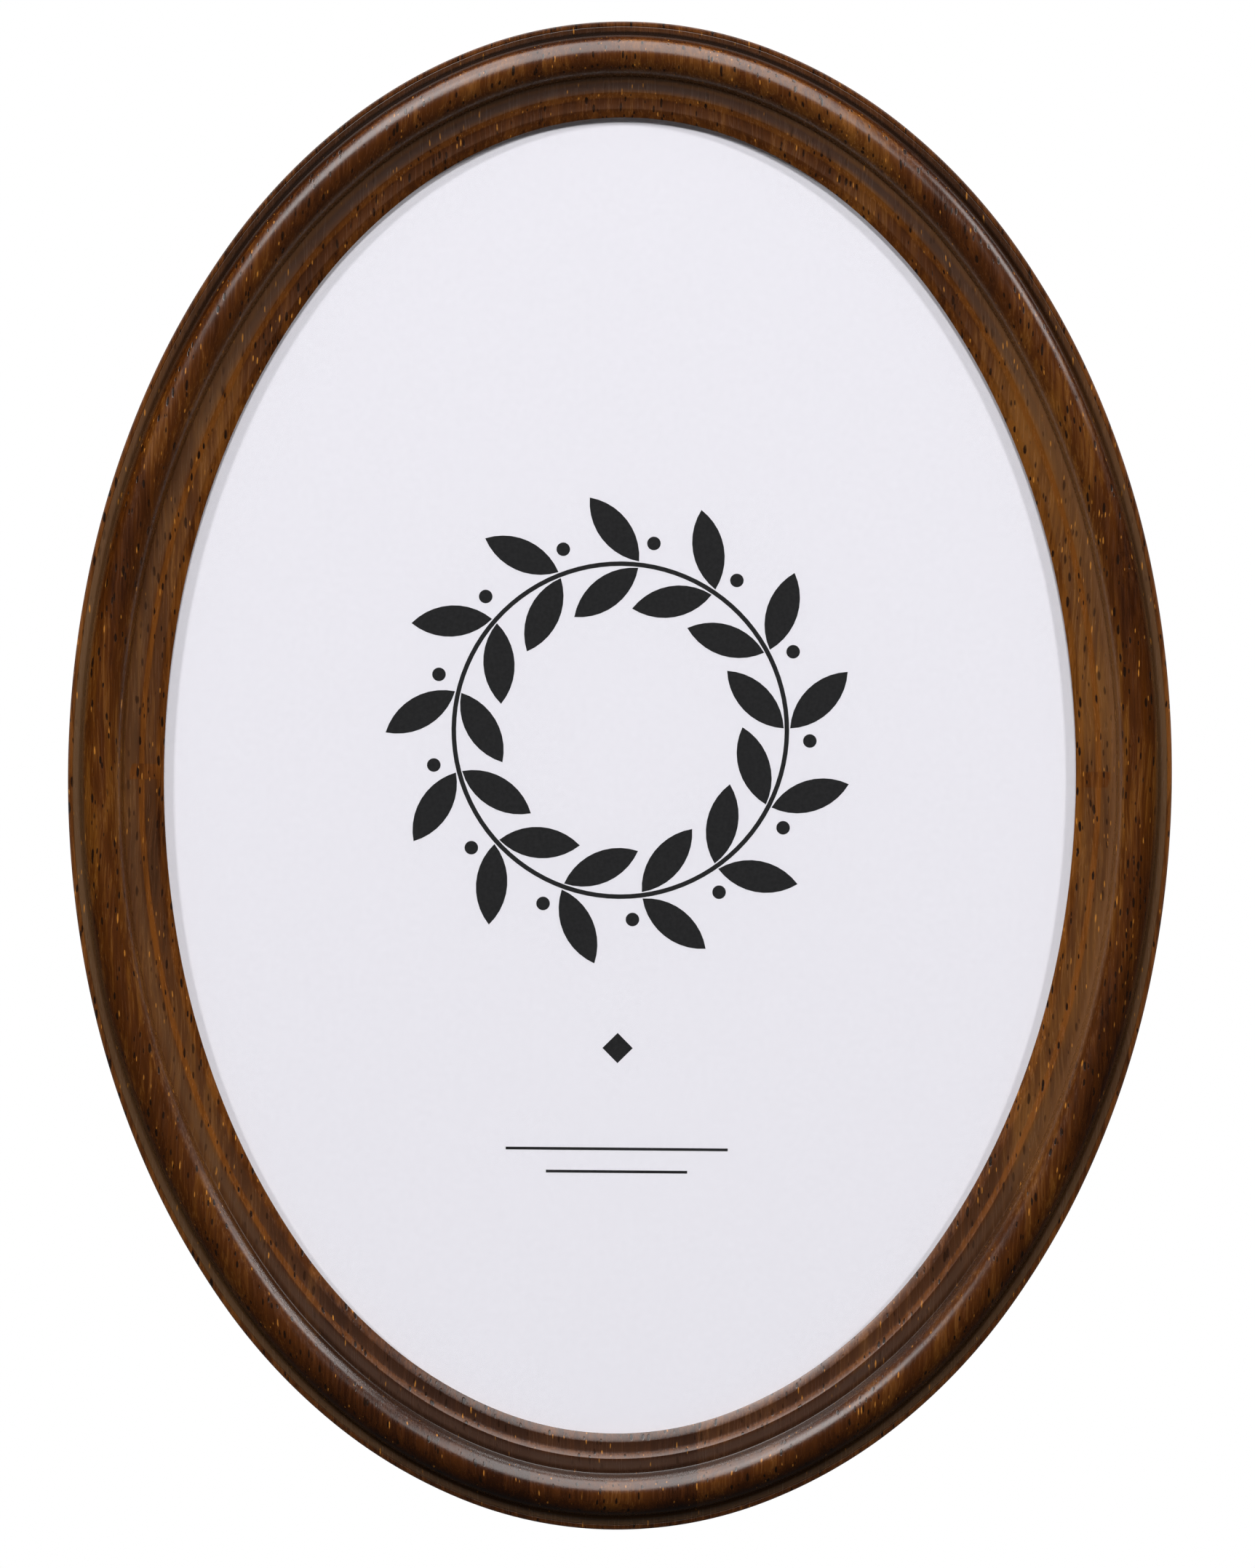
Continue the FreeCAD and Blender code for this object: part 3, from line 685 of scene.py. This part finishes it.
def makePrint():
    p = sheetPrint
    bm = bmesh.new()
    x0, z0 = p["middle"]

    def fresh(make):
        known = set(bm.verts)
        make()
        return [v for v in bm.verts if v not in known]

    def lens():
        length, bow = p["leafLength"], p["leafWidth"] / 2
        radius = (length * length / 4 + bow * bow) / (2 * bow)
        last = bm.verts.new((p["leafStart"], 0, 0))
        middle = p["leafStart"] + length / 2
        for side in (1, -1):
            spun = bmesh.ops.spin(bm, geom=[last], cent=(middle, 0, side * (bow - radius)), axis=(0, 1, 0),
                                  angle=4 * math.atan(2 * bow / length), steps=p["leafSteps"])
            last = vertsOf(spun["geom_last"])[0]

    def disc(radius, segments):
        bmesh.ops.create_circle(bm, radius=radius, segments=segments, matrix=upright())

    def bar():
        bmesh.ops.create_grid(bm, x_segments=1, y_segments=1, size=0.5, matrix=upright())

    pitch = 2 * math.pi / p["leafPairs"]
    for k in range(p["leafPairs"]):
        angle = k * pitch
        x = x0 + p["ringRadius"] * math.cos(angle)
        z = z0 + p["ringRadius"] * math.sin(angle)
        for side in (1, -1):
            placed(bm, fresh(lens), angle + math.radians(90 - side * p["leafTilt"]), x, z)
        berry = angle + p["berryPitchShare"] * pitch
        reach = p["ringRadius"] + p["berryReach"]
        x, z = x0 + reach * math.cos(berry), z0 + reach * math.sin(berry)
        placed(bm, fresh(lambda: disc(p["berryRadius"], p["berrySegments"])), 0, x, z)
    placed(bm, fresh(lambda: disc(p["diamondSize"], 4)), 0, x0, p["diamondZ"])
    for z, length in p["rules"]:
        rule = fresh(bar)
        bmesh.ops.scale(bm, verts=rule, vec=(length, 1, p["ruleWidth"]))
        placed(bm, rule, 0, x0, z)
    bmesh.ops.remove_doubles(bm, verts=bm.verts[:], dist=weld)
    bmesh.ops.contextual_create(bm, geom=[e for e in bm.edges if not e.link_faces])
    lifted = vertsOf(bmesh.ops.extrude_face_region(bm, geom=bm.faces[:])["geom"])
    bmesh.ops.translate(bm, verts=lifted, vec=(0, -p["film"], 0))
    half = p["ringWidth"] / 2
    corner = bm.verts.new((x0 + p["ringRadius"] - half, sheetFront + p["sunk"], z0))
    sides = [corner]
    for step in ((2 * half, 0, 0), (0, -p["film"], 0), (-2 * half, 0, 0)):
        sides.append(bmesh.ops.extrude_vert_indiv(bm, verts=[sides[-1]])["verts"][0])
        sides[-1].co += Vector(step)
    bm.edges.new((sides[-1], sides[0]))
    loop = sides + [e for e in bm.edges if not e.link_faces]
    bmesh.ops.spin(bm, geom=loop, cent=(x0, 0, z0), axis=(0, 1, 0), angle=2 * math.pi, steps=p["ringSteps"],
                   use_merge=True)
    faceOutward(bm)
    piece = makeObject(bm, "sheetPrint", materials["ink"])
    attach(piece, "frame")


makePrint()
print("print made")

# Hardware on the back, each piece drawn at the origin with its foot on the XZ plane and its tail along -Z
turnButton = {
    "thickness": 1.0 * mm, "headRadius": 4.0 * mm, "tipRadius": 2.6 * mm, "reach": 13.0 * mm,
    "bendLength": 4.0 * mm, "bendRise": 0.8 * mm, "holeRadius": 1.33 * mm, "easedEdge": 0.18 * mm,
    "arcSteps": 24,
}
turnScrew = {
    "shankRadius": 1.25 * mm, "depth": 8.0 * mm, "point": 1.6 * mm, "headRadius": 2.5 * mm,
    "headHeight": 1.6 * mm, "headBow": 0.69 * mm, "headSteps": 10, "sides": 40,
    "slotWidth": 0.6 * mm, "slotLength": 2.5 * mm, "slotDepth": 0.8 * mm, "slotTaper": 0.7,
    "cutAbove": 0.2, "slotAbove": 0.5, "turnStep": 25.0, "count": 6,
}
hangerRing = {
    "wireRadius": 0.8 * mm, "halfWidth": 6.3 * mm, "cornerRadius": 1.5 * mm, "straight": 10.0 * mm,
    "wireSides": 20, "cornerSteps": 8, "bowSteps": 32, "weld": 0.005 * mm,
}
hangerStrap = {
    "thickness": 0.66 * mm, "width": 9.0 * mm, "length": 8.5 * mm, "eyeRadius": 0.90 * mm, "neck": 2.0 * mm,
    "foldGap": 0.06 * mm, "foldSlope": 40.0, "tailRadius": 1.5 * mm, "easedEdge": 0.1 * mm,
    "eyeSteps": 24, "slopeSteps": 6, "tailSteps": 6, "tailEnds": 0.01 * mm,
}
hangerRivet = {
    "radius": 1.4 * mm, "place": 5.6 * mm, "seat": 1.4 * mm, "headRadius": 2.4 * mm, "headHeight": 1.1 * mm,
    "headBow": 0.28 * mm, "headSteps": 10, "sides": 40, "tail": 2.15 * mm, "tailRadius": 2.2 * mm,
    "tailHeight": 0.8 * mm,
}
wallBumper = {
    "height": 4.2 * mm, "radius": 3.6 * mm, "faceRadius": 3.1 * mm, "roundedEdge": 0.5 * mm,
    "dimpleRadius": 1.2 * mm, "dimpleDepth": 0.35 * mm, "dimpleBow": 0.07 * mm, "bowSteps": 5, "sides": 48,
}
finishing = {"sharpAbove": 35.0, "easedAbove": 50.0, "easedSteps": 2}
hinges = {joint["name"]: Vector(joint["pos_m"]) for joint in frame["record"]["behaviour"]["joints"]}


def finishPiece(bm, node, body, place, outward, materialName):
    turn = turned(math.atan2(outward.x, outward.z))
    bmesh.ops.transform(bm, matrix=Matrix.Translation(place) @ turn, verts=bm.verts[:])
    faceOutward(bm)
    shadeSmooth(bm, finishing["sharpAbove"])
    piece = makeObject(bm, node + "Finished", materials[materialName])
    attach(piece, body)
    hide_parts(node)


def spunRound(bm, steps):  # an outline in the XY plane turned about the Y axis
    bmesh.ops.spin(bm, geom=bm.verts[:] + bm.edges[:], cent=(0, 0, 0), axis=(0, 1, 0), angle=2 * math.pi,
                   steps=steps, use_merge=True)
    bmesh.ops.remove_doubles(bm, verts=bm.verts[:], dist=weld)
    faceOutward(bm)


def easeEdges(bm, offset):
    edges = [e for e in bm.edges if abs(e.calc_face_angle(0)) > math.radians(finishing["easedAbove"])]
    bmesh.ops.bevel(bm, geom=edges, offset=offset, offset_type="OFFSET", segments=finishing["easedSteps"],
                    profile=0.5, affect="EDGES", material=-1, clamp_overlap=True)


def drawTurnButton():
    b = turnButton
    bm = bmesh.new()
    span = b["reach"] - b["tipRadius"]
    lean = math.asin((b["headRadius"] - b["tipRadius"]) / span)

    def rounded(vert, z, angle):
        spun = bmesh.ops.spin(bm, geom=[vert], cent=(0, 0, z), axis=(0, 1, 0), angle=angle,
                              steps=b["arcSteps"])
        return vertsOf(spun["geom_last"])[0]

    first = bm.verts.new((-math.cos(lean) * b["headRadius"], 0, -math.sin(lean) * b["headRadius"]))
    last = rounded(first, 0, math.pi + 2 * lean)
    last = bmesh.ops.extrude_vert_indiv(bm, verts=[last])["verts"][0]
    last.co = (math.cos(lean) * b["tipRadius"], 0, -span - math.sin(lean) * b["tipRadius"])
    last = rounded(last, -span, math.pi - 2 * lean)
    bm.edges.new((last, first))
    bmesh.ops.create_circle(bm, radius=b["holeRadius"], segments=2 * b["arcSteps"] + 2, matrix=upright())
    bmesh.ops.bridge_loops(bm, edges=bm.edges[:])
    bendZ = b["bendLength"] - b["reach"]
    bmesh.ops.bisect_plane(bm, geom=bm.verts[:] + bm.edges[:] + bm.faces[:], plane_co=(0, 0, bendZ),
                           plane_no=(0, 0, 1), dist=weld)
    for v in bm.verts:
        v.co.y += b["bendRise"] * max(0.0, bendZ - v.co.z) / b["bendLength"]
    lifted = bmesh.ops.extrude_face_region(bm, geom=bm.faces[:])["geom"]
    bmesh.ops.translate(bm, verts=vertsOf(lifted), vec=(0, b["thickness"], 0))
    faceOutward(bm)
    easeEdges(bm, b["easedEdge"])
    return bm


def drawTurnScrew(turn):
    s = turnScrew
    bm = bmesh.new()
    seat = turnButton["thickness"]
    straight, bowed, _ = outlinePen(bm, (0, -s["depth"] - s["point"], 0))
    straight(s["shankRadius"], s["point"])
    straight(0, s["depth"] + seat)
    straight(s["headRadius"] - s["shankRadius"], 0)
    bowed(-s["headRadius"], s["headHeight"], s["headBow"], s["headSteps"])
    spunRound(bm, s["sides"])
    half, reach = s["slotWidth"] / 2, s["slotLength"] / 2
    for side in (1, -1):
        for offset in (half, reach):
            for direction in ((side, 0, 0), (0, 0, side)):
                low = seat + s["cutAbove"] * s["headHeight"]
                head = [f for f in bm.faces if f.calc_center_median().y > low]
                parts = list({part for f in head for part in (*f.verts, *f.edges)}) + head
                place = Vector(direction) * offset
                bmesh.ops.bisect_plane(bm, geom=parts, plane_co=place, plane_no=direction, dist=weld)

    def inSlot(f):
        place = f.calc_center_median()
        x, z = abs(place.x), abs(place.z)
        return place.y > seat + s["slotAbove"] * s["headHeight"] and min(x, z) < half and max(x, z) < reach

    slot = [f for f in bm.faces if inSlot(f)]
    sunk = bmesh.ops.extrude_face_region(bm, geom=slot)["geom"]
    bmesh.ops.delete(bm, geom=slot, context="FACES")
    bottom = vertsOf(sunk)
    bmesh.ops.translate(bm, verts=bottom, vec=(0, -s["slotDepth"], 0))
    bmesh.ops.scale(bm, verts=bottom, vec=(s["slotTaper"], 1, s["slotTaper"]))
    bmesh.ops.rotate(bm, verts=bm.verts[:], cent=(0, 0, 0), matrix=turned(math.radians(turn), 3))
    return bm


def drawHangerRing(height):
    r = hangerRing
    corner, side, low = r["cornerRadius"], r["halfWidth"], r["straight"]
    bm = bmesh.new()
    wire = bmesh.ops.create_circle(bm, radius=r["wireRadius"], segments=r["wireSides"],
                                   matrix=Matrix.Translation((0, height, 0)) @ turned(math.radians(90)))
    loop = wire["verts"] + bm.edges[:]

    def drawn(dx, dz):
        nonlocal loop
        fresh = bmesh.ops.extrude_edge_only(bm, edges=edgesOf(loop))["geom"]
        moved = vertsOf(fresh)
        bmesh.ops.translate(bm, verts=moved, vec=(dx, 0, dz))
        loop = moved + [e for e in edgesOf(fresh) if set(moved).issuperset(e.verts)]

    def bent(x, z, angle, steps):
        nonlocal loop
        spun = bmesh.ops.spin(bm, geom=loop, cent=(x, height, z), axis=(0, 1, 0), angle=angle, steps=steps)
        loop = spun["geom_last"]

    drawn(side - corner, 0)
    bent(side - corner, -corner, math.pi / 2, r["cornerSteps"])
    drawn(0, corner - low)
    bent(0, -low, math.pi, r["bowSteps"])
    drawn(0, low - corner)
    bent(corner - side, -corner, math.pi / 2, r["cornerSteps"])
    drawn(side - corner, 0)
    bmesh.ops.remove_doubles(bm, verts=bm.verts[:], dist=r["weld"])
    return bm


def drawHangerStrap(height):  # one strip folded round the ring's bar and back onto itself, from its tail
    s = hangerStrap
    bm = bmesh.new()
    inner, thickness, length, neck = s["eyeRadius"], s["thickness"], s["length"], s["neck"]
    outer = inner + thickness
    top = 2 * thickness + s["foldGap"]
    slope = math.radians(s["foldSlope"])
    bulge = 1 - math.cos(slope / 2)
    straight, bowed, ends = outlinePen(bm, (0, 0, 0))
    first = ends[0]

    def upTo(x, y):
        straight(x - ends[0].co.x, y - ends[0].co.y)

    upTo(length - neck, 0)
    upTo(length, height - outer)
    bowed(0, 2 * outer, outer, s["eyeSteps"])
    bowed(-outer * math.sin(slope), -outer * (1 - math.cos(slope)), outer * bulge, s["slopeSteps"])
    upTo(ends[0].co.x - (ends[0].co.y - top) / math.tan(slope), top)
    upTo(0, top)
    upTo(0, top - thickness)
    touchX, touchY = length - inner * math.sin(slope), height + inner * math.cos(slope)
    upTo(touchX - (touchY - top + thickness) / math.tan(slope), top - thickness)
    upTo(touchX, touchY)
    bowed(inner * math.sin(slope), inner * (1 - math.cos(slope)), -inner * bulge, s["slopeSteps"])
    bowed(0, -2 * inner, -inner, s["eyeSteps"])
    upTo(length - neck, thickness)
    upTo(0, thickness)
    bm.edges.new((ends[0], first))
    bmesh.ops.edgeloop_fill(bm, edges=bm.edges[:])
    wide = bmesh.ops.extrude_face_region(bm, geom=bm.faces[:])["geom"]
    bmesh.ops.translate(bm, verts=vertsOf(wide), vec=(0, 0, s["width"]))
    bmesh.ops.translate(bm, verts=bm.verts[:], vec=(-length, 0, -s["width"] / 2))
    bmesh.ops.rotate(bm, verts=bm.verts[:], cent=(0, 0, 0), matrix=turned(math.radians(-90), 3))
    faceOutward(bm)
    tail = [e for e in bm.edges if all(v.co.z < s["tailEnds"] - length for v in e.verts)
            and abs(e.verts[0].co.y - e.verts[1].co.y) > thickness / 2]
    bmesh.ops.bevel(bm, geom=tail, offset=s["tailRadius"], offset_type="OFFSET", segments=s["tailSteps"],
                    profile=0.5, affect="EDGES", material=-1)
    easeEdges(bm, s["easedEdge"])
    return bm


def drawHangerRivet():
    r = hangerRivet
    bm = bmesh.new()
    straight, bowed, _ = outlinePen(bm, (0, -r["tail"] - r["tailHeight"], 0))
    straight(r["tailRadius"], 0)
    straight(0, r["tailHeight"])
    straight(r["radius"] - r["tailRadius"], 0)
    straight(0, r["tail"] + r["seat"])
    straight(r["headRadius"] - r["radius"], 0)
    bowed(-r["headRadius"], r["headHeight"], r["headBow"], r["headSteps"])
    spunRound(bm, r["sides"])
    return bm


def drawWallBumper():
    b = wallBumper
    rounded = b["roundedEdge"]
    bm = bmesh.new()
    straight, bowed, _ = outlinePen(bm, (0, 0, 0))
    straight(b["radius"], 0)
    straight(b["faceRadius"] - b["radius"], b["height"] - rounded)
    bowed(-rounded, rounded, quarterBow * rounded, b["bowSteps"])
    straight(b["dimpleRadius"] + rounded - b["faceRadius"], 0)
    bowed(-b["dimpleRadius"], -b["dimpleDepth"], -b["dimpleBow"], b["bowSteps"])
    spunRound(bm, b["sides"])
    return bm


def makeHardware():
    count = turnScrew["count"]
    for k in range(1, count + 1):
        button, screw = f"turn_button_{k}", f"turn_screw_{k}"
        place, outward = hinges[button + "_turn"], ellipseNormal(90 + 360 * (k - 1) / count)
        finishPiece(drawTurnButton(), button, button, place, outward, "zinc")
        finishPiece(drawTurnScrew(k * turnScrew["turnStep"]), screw, "frame", place, outward, "zinc")
    for name, outward in (("portrait_hanger", Vector((0, 0, 1))), ("landscape_hanger", Vector((-1, 0, 0)))):
        ring, strap, rivet = name + "_ring", name + "_strap", name + "_rivet"
        hinge = hinges[ring + "_swing"]
        foot, height = Vector((hinge.x, backY, hinge.z)), hinge.y - backY
        finishPiece(drawHangerRing(height), ring, ring, foot, outward, "nickel")
        finishPiece(drawHangerStrap(height), strap, "frame", foot, outward, "nickel")
        finishPiece(drawHangerRivet(), rivet, "frame", foot - outward * hangerRivet["place"], outward, "zinc")
    for word in ("left", "right"):
        low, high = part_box("wall_bumper_" + word)
        middle = (Vector(low) + Vector(high)) / 2
        finishPiece(drawWallBumper(), "wall_bumper_" + word, "frame", Vector((middle.x, backY, middle.z)),
                    Vector((0, 0, 1)), "rubber")


makeHardware()
print("back hardware made")

# Pieces that keep the model's own shape
finishes = {
    "glass_pane": "glass", "picture_sheet": "paper", "filler_card": "card", "back_panel": "fibreboard",
}
for name, finish in finishes.items():
    node = frame["nodes"][name]
    node.data.materials.clear()
    node.data.materials.append(materials[finish])
print("model pieces finished")

# Studio: pale floor, white surroundings, one wide soft light overhead, side lamps and a weak fill
# Angles are degrees: from the view axis, then about it from +X towards +Z
studio = {
    "floorZ": -0.32, "floorSize": 2.4, "floorSteps": 96,
    "floorColor": (0.9, 0.9, 0.9, 1), "floorRoughness": 0.8,
    "keyRadiance": 7.6, "keySize": (1.7, 1.66), "keyDistance": 1.5, "keyPolar": 57.0, "keyTurn": 95.0,
    "fillRadiance": 0.85, "fillSize": (1.6, 1.6), "fillDistance": 1.7, "fillPolar": 12.0, "fillTurn": 270.0,
    # Side lamps, and lamps that light the sheet alone: radiance, size and the two angles
    "sideDistance": 1.6, "sideRight": (10.0, 0.55, 78.0, 38.0), "sideLeft": (5.5, 0.75, 52.0, 128.0),
    "sheetDistance": 3.0, "sheet": (136.0, 0.32, 19.5, 88.0),
    "sheetRight": (58.0, 0.40, 44.0, 35.0), "sheetLeft": (58.0, 0.40, 44.0, 145.0),
    "backRadiance": 1.7, "backSize": 2.4, "backPlace": (0.6, 1.6, 0.3),
    # The room's light from below to above, and how steeply it changes
    "roomBelow": 0.065, "roomAbove": 0.016, "roomSlope": 0.3,
}


def placeOf(distance, polar, turn):
    polar, turn = math.radians(polar), math.radians(turn)
    side = math.sin(polar)
    return Vector((side * math.cos(turn), -math.cos(polar), side * math.sin(turn))) * distance


def areaLight(name, place, size, radiance, only=(), without=()):  # facing the origin
    data = bpy.data.lights.new(name, "AREA")
    data.shape = "RECTANGLE"
    data.size, data.size_y = size
    data.energy = radiance * math.pi * size[0] * size[1]
    light = bpy.data.objects.new(name, data)
    light.location = place
    light.rotation_euler = (-Vector(place)).to_track_quat("-Z", "Y").to_euler()
    light.visible_camera = False
    if only or without:
        lit = bpy.data.collections.new(name + "Lit")
        for piece in (*only, *without):
            lit.objects.link(piece)
        light.light_linking.receiver_collection = lit
        for entry in lit.collection_objects:
            entry.light_linking.link_state = "EXCLUDE" if without else "INCLUDE"
    bpy.context.scene.collection.objects.link(light)
    return light


def makeFloor():
    bm = bmesh.new()
    bmesh.ops.create_circle(bm, cap_ends=True, segments=studio["floorSteps"], radius=studio["floorSize"] / 2)
    bmesh.ops.translate(bm, verts=bm.verts[:], vec=(0, 0, studio["floorZ"]))
    material, _, shader = newMaterial("paleFloor")
    shader.inputs["Base Color"].default_value = studio["floorColor"]
    shader.inputs["Roughness"].default_value = studio["floorRoughness"]
    floor = makeObject(bm, "floor", material)
    floor.visible_diffuse = False  # its light would reach the object from below
    floor.visible_glossy = False


def makeLights():
    s = studio
    sheet = [frame["nodes"]["picture_sheet"], bpy.data.objects["sheetPrint"]]
    wood = [piece for piece in bpy.data.objects if piece.name.endswith("Wood")]
    areaLight("keySoftbox", placeOf(s["keyDistance"], s["keyPolar"], s["keyTurn"]), s["keySize"],
              s["keyRadiance"], without=sheet)
    for word in ("Right", "Left"):
        radiance, size, polar, turn = s["side" + word]
        place = placeOf(s["sideDistance"], polar, turn)
        areaLight("sideSoftbox" + word, place, (size, size), radiance, without=sheet)
    fill = areaLight("frontFill", placeOf(s["fillDistance"], s["fillPolar"], s["fillTurn"]), s["fillSize"],
                     s["fillRadiance"], only=wood)
    fill.visible_glossy = False
    for word in ("", "Right", "Left"):
        radiance, size, polar, turn = s["sheet" + word]
        place = placeOf(s["sheetDistance"], polar, turn)
        areaLight("sheetLamp" + word, place, (size, size), radiance, only=sheet)
    areaLight("backSoftbox", s["backPlace"], (s["backSize"], s["backSize"]), s["backRadiance"])


def makeRoom():  # white to the camera, and faint light for the object
    world = bpy.data.worlds.new("studioWorld")
    bpy.context.scene.world = world
    world.use_nodes = True
    tree = world.node_tree
    direction = addNode(tree, "ShaderNodeTexCoord").outputs["Generated"]
    room = addNode(tree, "ShaderNodeMapRange", {
        "Value": addNode(tree, "ShaderNodeSeparateXYZ", {0: direction}).outputs["Z"],
        "From Min": -studio["roomSlope"], "From Max": studio["roomSlope"],
        "To Min": studio["roomBelow"], "To Max": studio["roomAbove"],
    })
    level = addNode(tree, "ShaderNodeMapRange", {
        "Value": addNode(tree, "ShaderNodeLightPath").outputs["Is Camera Ray"],
        "To Min": room.outputs[0], "To Max": 1.0,
    })
    tree.links.new(level.outputs[0], tree.nodes["Background"].inputs["Strength"])
    tree.nodes["Background"].inputs["Color"].default_value = (1, 1, 1, 1)


makeFloor()
makeLights()
makeRoom()
print("studio made")

# Camera: head on with a long lens, framed as in the photograph
camera = {
    "distance": 1.5, "sensor": 36.0, "pixel": 0.1439 * mm, "pixelsHigh": 2156,
    # How far the object stands from the middle in pixels, and how far the camera leans in degrees
    "objectLeft": 10.5, "objectUp": 11.5, "lean": 0.5,
}


def makeCamera():
    c = camera
    data = bpy.data.cameras.new("camera")
    data.sensor_width = c["sensor"]
    lipY = backY - moulding["rebateDepth"] - moulding["lipEdge"]
    data.lens = c["sensor"] * (c["distance"] + lipY) / (c["pixelsHigh"] * c["pixel"])
    obj = bpy.data.objects.new("camera", data)
    obj.location = (c["objectLeft"] * c["pixel"], -c["distance"], -c["objectUp"] * c["pixel"])
    obj.rotation_euler = (math.radians(90), -math.radians(c["lean"]), 0)
    bpy.context.scene.collection.objects.link(obj)
    bpy.context.scene.camera = obj


makeCamera()
view = bpy.context.scene.view_settings
view.view_transform = "Standard"
view.look = "None"
